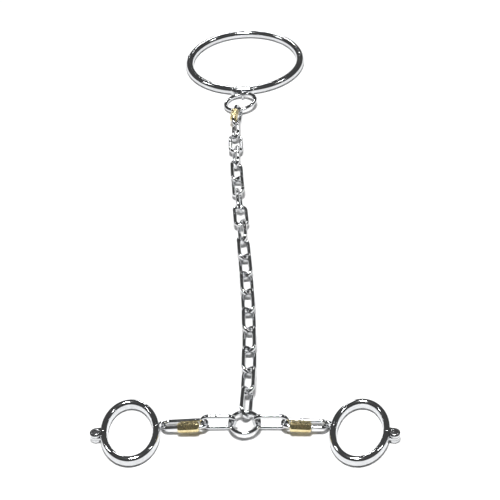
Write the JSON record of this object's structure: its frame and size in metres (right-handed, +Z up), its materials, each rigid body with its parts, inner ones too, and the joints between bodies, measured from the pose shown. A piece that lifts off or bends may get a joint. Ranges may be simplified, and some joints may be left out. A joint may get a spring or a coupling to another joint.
{
  "type": "collar and cuffs chain set",
  "caption": "Polished steel neck collar joined by a welded chain and quick links to a centre ring and hinged oval wrist cuffs, laid out flat.",
  "frame": {"origin": "middle of the underside of the whole layout", "axes": "+Y from the cuffs to the collar along the chain, +Z up"},
  "size_m": [0.2626, 0.7316, 0.0164],
  "materials": {
    "polished_steel": "mirror polished",
    "pin_steel": "bright turned",
    "brass_nut": "bright machined"
  },
  "bodies": {
    "centre_ring": {"centre_ring": "polished_steel"},
    "chain_link_01": {"chain_link_01": "polished_steel"},
    "chain_link_02": {"chain_link_02": "polished_steel"},
    "chain_link_03": {"chain_link_03": "polished_steel"},
    "chain_link_04": {"chain_link_04": "polished_steel"},
    "chain_link_05": {"chain_link_05": "polished_steel"},
    "chain_link_06": {"chain_link_06": "polished_steel"},
    "chain_link_07": {"chain_link_07": "polished_steel"},
    "chain_link_08": {"chain_link_08": "polished_steel"},
    "chain_link_09": {"chain_link_09": "polished_steel"},
    "chain_link_10": {"chain_link_10": "polished_steel"},
    "chain_link_11": {"chain_link_11": "polished_steel"},
    "chain_link_12": {"chain_link_12": "polished_steel"},
    "chain_link_13": {"chain_link_13": "polished_steel"},
    "chain_link_14": {"chain_link_14": "polished_steel"},
    "chain_link_15": {"chain_link_15": "polished_steel"},
    "chain_link_16": {"chain_link_16": "polished_steel"},
    "chain_link_17": {"chain_link_17": "polished_steel"},
    "neck_quick_link": {"neck_quick_link_body": "polished_steel"},
    "neck_quick_link_nut": {"neck_quick_link_nut": "brass_nut"},
    "neck_o_ring": {"neck_o_ring": "polished_steel"},
    "collar_front": {"collar_front_half": "polished_steel", "collar_staple": "polished_steel"},
    "collar_rear": {"collar_rear_half": "polished_steel", "collar_hinge_pin": "pin_steel"},
    "collar_lock_screw": {"collar_lock_screw": "pin_steel"},
    "left_side_link": {"left_side_link": "polished_steel"},
    "left_quick_link": {"left_quick_link_body": "polished_steel"},
    "left_quick_link_nut": {"left_quick_link_nut": "brass_nut"},
    "left_cuff_rear": {"left_cuff_rear_half": "polished_steel", "left_cuff_hinge_pin": "pin_steel"},
    "left_cuff_front": {"left_cuff_front_half": "polished_steel"},
    "left_cuff_lock_screw": {"left_cuff_lock_screw": "pin_steel"},
    "right_side_link": {"right_side_link": "polished_steel"},
    "right_quick_link": {"right_quick_link_body": "polished_steel"},
    "right_quick_link_nut": {"right_quick_link_nut": "brass_nut"},
    "right_cuff_rear": {"right_cuff_rear_half": "polished_steel", "right_cuff_hinge_pin": "pin_steel"},
    "right_cuff_front": {"right_cuff_front_half": "polished_steel"},
    "right_cuff_lock_screw": {"right_cuff_lock_screw": "pin_steel"}
  },
  "joints": [
    {"name": "collar_opening", "type": "hinge", "parent": "collar_front", "child": "collar_rear", "pos_m": [-0.06443, 0.30479, 0.00475], "axis": [0, 0, 1], "range_deg": [0, 90]},
    {"name": "left_cuff_opening", "type": "hinge", "parent": "left_cuff_rear", "child": "left_cuff_front", "pos_m": [-0.12636, -0.32151, 0.00465], "axis": [0, 0, -1], "range_deg": [0, 110]},
    {"name": "right_cuff_opening", "type": "hinge", "parent": "right_cuff_rear", "child": "right_cuff_front", "pos_m": [0.12637, -0.33586, 0.00465], "axis": [0, 0, 1], "range_deg": [0, 110]},
    {"name": "left_nut_travel", "type": "slide", "parent": "left_quick_link", "child": "left_quick_link_nut", "axis": [-0.997, 0.047, -0.0621], "range_m": [0, 0.007]},
    {"name": "right_nut_travel", "type": "slide", "parent": "right_quick_link", "child": "right_quick_link_nut", "axis": [0.9963, -0.0592, -0.0621], "range_m": [0, 0.007]},
    {"name": "neck_nut_travel", "type": "slide", "parent": "neck_quick_link", "child": "neck_quick_link_nut", "axis": [0.1045, 0.9941, -0.0304], "range_m": [0, 0.007]},
    {"name": "collar_screw_turn", "type": "hinge", "parent": "collar_front", "child": "collar_lock_screw", "pos_m": [0.07117, 0.29447, 0.00475], "axis": [0, 0, 1], "continuous": true},
    {"name": "left_cuff_screw_turn", "type": "hinge", "parent": "left_cuff_rear", "child": "left_cuff_lock_screw", "pos_m": [-0.07541, -0.31354, 0.00465], "axis": [0, 0, 1], "continuous": true},
    {"name": "right_cuff_screw_turn", "type": "hinge", "parent": "right_cuff_rear", "child": "right_cuff_lock_screw", "pos_m": [0.07677, -0.32174, 0.00465], "axis": [0, 0, 1], "continuous": true},
    {"name": "left_cuff_swing", "type": "hinge", "parent": "left_quick_link", "child": "left_cuff_rear", "pos_m": [-0.0696, -0.31293, 0.00465], "axis": [0.0615, 0.9641, -0.2583], "range_deg": [-30, 60]},
    {"name": "right_cuff_swing", "type": "hinge", "parent": "right_quick_link", "child": "right_cuff_rear", "pos_m": [0.07107, -0.32043, 0.00465], "axis": [-0.0413, -0.9652, 0.2583], "range_deg": [-30, 60]},
    {"name": "collar_swing", "type": "hinge", "parent": "neck_o_ring", "child": "collar_front", "pos_m": [0.00027, 0.21472, 0.0057], "axis": [0.9778, -0.1172, 0.1736], "range_deg": [-50, 50]},
    {"name": "neck_ring_swing", "type": "hinge", "parent": "neck_quick_link", "child": "neck_o_ring", "pos_m": [-0.0035, 0.184, 0.0064], "axis": [0.539, -0.0823, -0.8383], "range_deg": [-3, 17]},
    {"name": "left_quick_link_swing", "type": "hinge", "parent": "left_side_link", "child": "left_quick_link", "pos_m": [-0.0362, -0.3145, 0.00823], "axis": [0.0033, 0.0697, 0.9976], "range_deg": [-13, 45]},
    {"name": "left_side_link_swing", "type": "hinge", "parent": "centre_ring", "child": "left_side_link", "pos_m": [-0.01182, -0.31565, 0.0072], "axis": [-0.0471, -0.9989, 0], "range_deg": [-45, 45]},
    {"name": "right_quick_link_swing", "type": "hinge", "parent": "right_side_link", "child": "right_quick_link", "pos_m": [0.0377, -0.31844, 0.00823], "axis": [-0.0041, -0.0696, -0.9976], "range_deg": [-13, 45]},
    {"name": "right_side_link_swing", "type": "hinge", "parent": "centre_ring", "child": "right_side_link", "pos_m": [0.01334, -0.317, 0.0072], "axis": [0.0593, 0.9982, 0], "range_deg": [-45, 45]},
    {"name": "neck_quick_link_swing", "type": "hinge", "parent": "chain_link_17", "child": "neck_quick_link", "pos_m": [-0.00702, 0.1506, 0.00743], "axis": [0.5, -0.0051, 0.866], "range_deg": [-13, 33]},
    {"name": "chain_swing_01", "type": "hinge", "parent": "centre_ring", "child": "chain_link_01", "pos_m": [0.00166, -0.30368, 0.0072], "axis": [-0.9974, 0.0715, 0], "range_deg": [-45, 45]},
    {"name": "chain_swing_02", "type": "hinge", "parent": "chain_link_01", "child": "chain_link_02", "pos_m": [0.00359, -0.2768, 0.0072], "axis": [0.5578, -0.04, -0.829], "range_deg": [-45, 45]},
    {"name": "chain_swing_03", "type": "hinge", "parent": "chain_link_02", "child": "chain_link_03", "pos_m": [0.0048, -0.25011, 0.00589], "axis": [-0.7886, 0.0055, -0.6149], "range_deg": [-45, 45]},
    {"name": "chain_swing_04", "type": "hinge", "parent": "chain_link_03", "child": "chain_link_04", "pos_m": [0.00538, -0.22337, 0.00589], "axis": [-0.7878, 0.0173, 0.6157], "range_deg": [-45, 45]},
    {"name": "chain_swing_05", "type": "hinge", "parent": "chain_link_04", "child": "chain_link_05", "pos_m": [0.00543, -0.19662, 0.00589], "axis": [0.788, -0.0012, 0.6157], "range_deg": [-45, 45]},
    {"name": "chain_swing_06", "type": "hinge", "parent": "chain_link_05", "child": "chain_link_06", "pos_m": [0.005, -0.16987, 0.00589], "axis": [0.7879, 0.0124, -0.6157], "range_deg": [-45, 45]},
    {"name": "chain_swing_07", "type": "hinge", "parent": "chain_link_06", "child": "chain_link_07", "pos_m": [0.0042, -0.14313, 0.00589], "axis": [-0.7877, -0.0237, -0.6157], "range_deg": [-45, 45]},
    {"name": "chain_swing_08", "type": "hinge", "parent": "chain_link_07", "child": "chain_link_08", "pos_m": [0.00309, -0.1164, 0.00589], "axis": [-0.7873, -0.0327, 0.6157], "range_deg": [-45, 45]},
    {"name": "chain_swing_09", "type": "hinge", "parent": "chain_link_08", "child": "chain_link_09", "pos_m": [0.00176, -0.08969, 0.00589], "axis": [0.787, 0.0392, 0.6157], "range_deg": [-45, 45]},
    {"name": "chain_swing_10", "type": "hinge", "parent": "chain_link_09", "child": "chain_link_10", "pos_m": [0.00029, -0.06303, 0.00753], "axis": [0.7847, 0.0812, -0.6145], "range_deg": [-45, 45]},
    {"name": "chain_swing_11", "type": "hinge", "parent": "chain_link_10", "child": "chain_link_11", "pos_m": [-0.00125, -0.03632, 0.00753], "axis": [-0.4687, -0.027, -0.8829], "range_deg": [-45, 45]},
    {"name": "chain_swing_12", "type": "hinge", "parent": "chain_link_11", "child": "chain_link_12", "pos_m": [-0.00277, -0.00962, 0.00804], "axis": [-0.9885, -0.0589, 0.1391], "range_deg": [-45, 45]},
    {"name": "chain_swing_13", "type": "hinge", "parent": "chain_link_12", "child": "chain_link_13", "pos_m": [-0.00419, 0.01709, 0.00804], "axis": [0.2585, 0.0138, -0.9659], "range_deg": [-45, 45]},
    {"name": "chain_swing_14", "type": "hinge", "parent": "chain_link_13", "child": "chain_link_14", "pos_m": [-0.00543, 0.04371, 0.00571], "axis": [0.8159, 0.0879, 0.5714], "range_deg": [-45, 45]},
    {"name": "chain_swing_15", "type": "hinge", "parent": "chain_link_14", "child": "chain_link_15", "pos_m": [-0.00641, 0.07036, 0.0078], "axis": [-0.8068, -0.0756, 0.586], "range_deg": [-45, 45]},
    {"name": "chain_swing_16", "type": "hinge", "parent": "chain_link_15", "child": "chain_link_16", "pos_m": [-0.00706, 0.0971, 0.0078], "axis": [-0.3745, -0.0091, -0.9272], "range_deg": [-45, 45]},
    {"name": "chain_swing_17", "type": "hinge", "parent": "chain_link_16", "child": "chain_link_17", "pos_m": [-0.00729, 0.12385, 0.00743], "axis": [0.9975, 0.0075, -0.0698], "range_deg": [-33, 38]}
  ]
}
